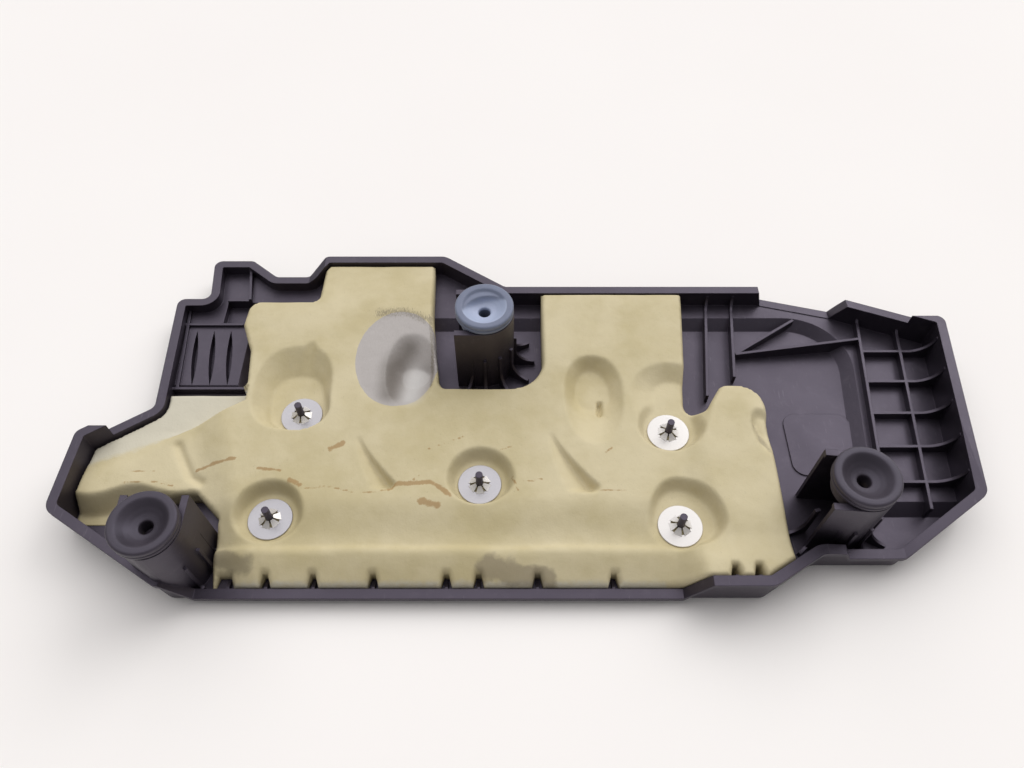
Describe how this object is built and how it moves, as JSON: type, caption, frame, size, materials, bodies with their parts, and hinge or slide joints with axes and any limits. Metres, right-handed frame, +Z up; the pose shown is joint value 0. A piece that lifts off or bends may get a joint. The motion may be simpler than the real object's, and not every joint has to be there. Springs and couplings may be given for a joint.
{
  "type": "engine cover",
  "caption": "Moulded plastic engine cover lying face down, with a dished foam pad held by push nuts on pins and rubber grommets in slotted posts.",
  "frame": {"origin": "centre of the bounding box in plan, on the outer face that the cover lies on", "axes": "+X along the cover's length, +Y across it towards the stepped far edge, +Z up out of the open underside"},
  "size_m": [0.5154, 0.231, 0.06],
  "materials": {
    "shell_plastic": "matt moulded grain",
    "foam": "moulded foam skin, worn",
    "grommet_rubber": "matt with a light bloom",
    "spring_steel": "bright zinc"
  },
  "bodies": {
    "root": {"cover_shell": "shell_plastic", "foam_pad": "foam", "rubber_mounts": "grommet_rubber", "push_nuts": "spring_steel"}
  },
  "joints": []
}
